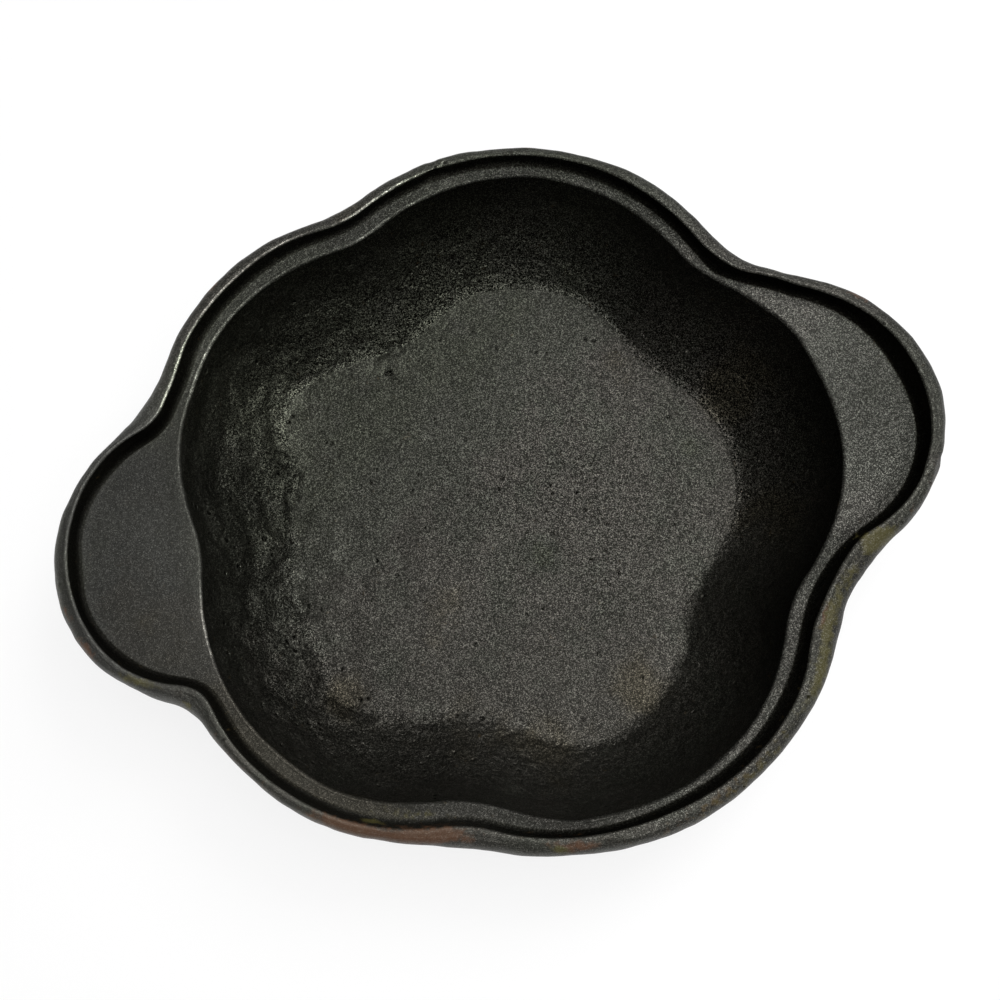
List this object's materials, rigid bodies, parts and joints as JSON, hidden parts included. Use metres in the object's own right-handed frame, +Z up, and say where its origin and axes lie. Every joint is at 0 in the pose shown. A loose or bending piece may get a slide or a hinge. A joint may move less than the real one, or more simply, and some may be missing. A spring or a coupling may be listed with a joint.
{
  "type": "garlic roaster dish",
  "caption": "Shallow cast-iron garlic roaster dish with a lobed bowl, a recessed lid seat and tab handles.",
  "frame": {"origin": "on the flat base, under the middle of the bowl", "axes": "+Z up out of the bowl, +X along the handles towards the handle that covers a lobe"},
  "size_m": [0.1688, 0.1374, 0.0275],
  "materials": {
    "seasoned_iron": "sand-cast grain under a dark satin seasoning, with a little rust on the rim"
  },
  "bodies": {
    "root": {"roaster_dish": "seasoned_iron"}
  },
  "joints": []
}
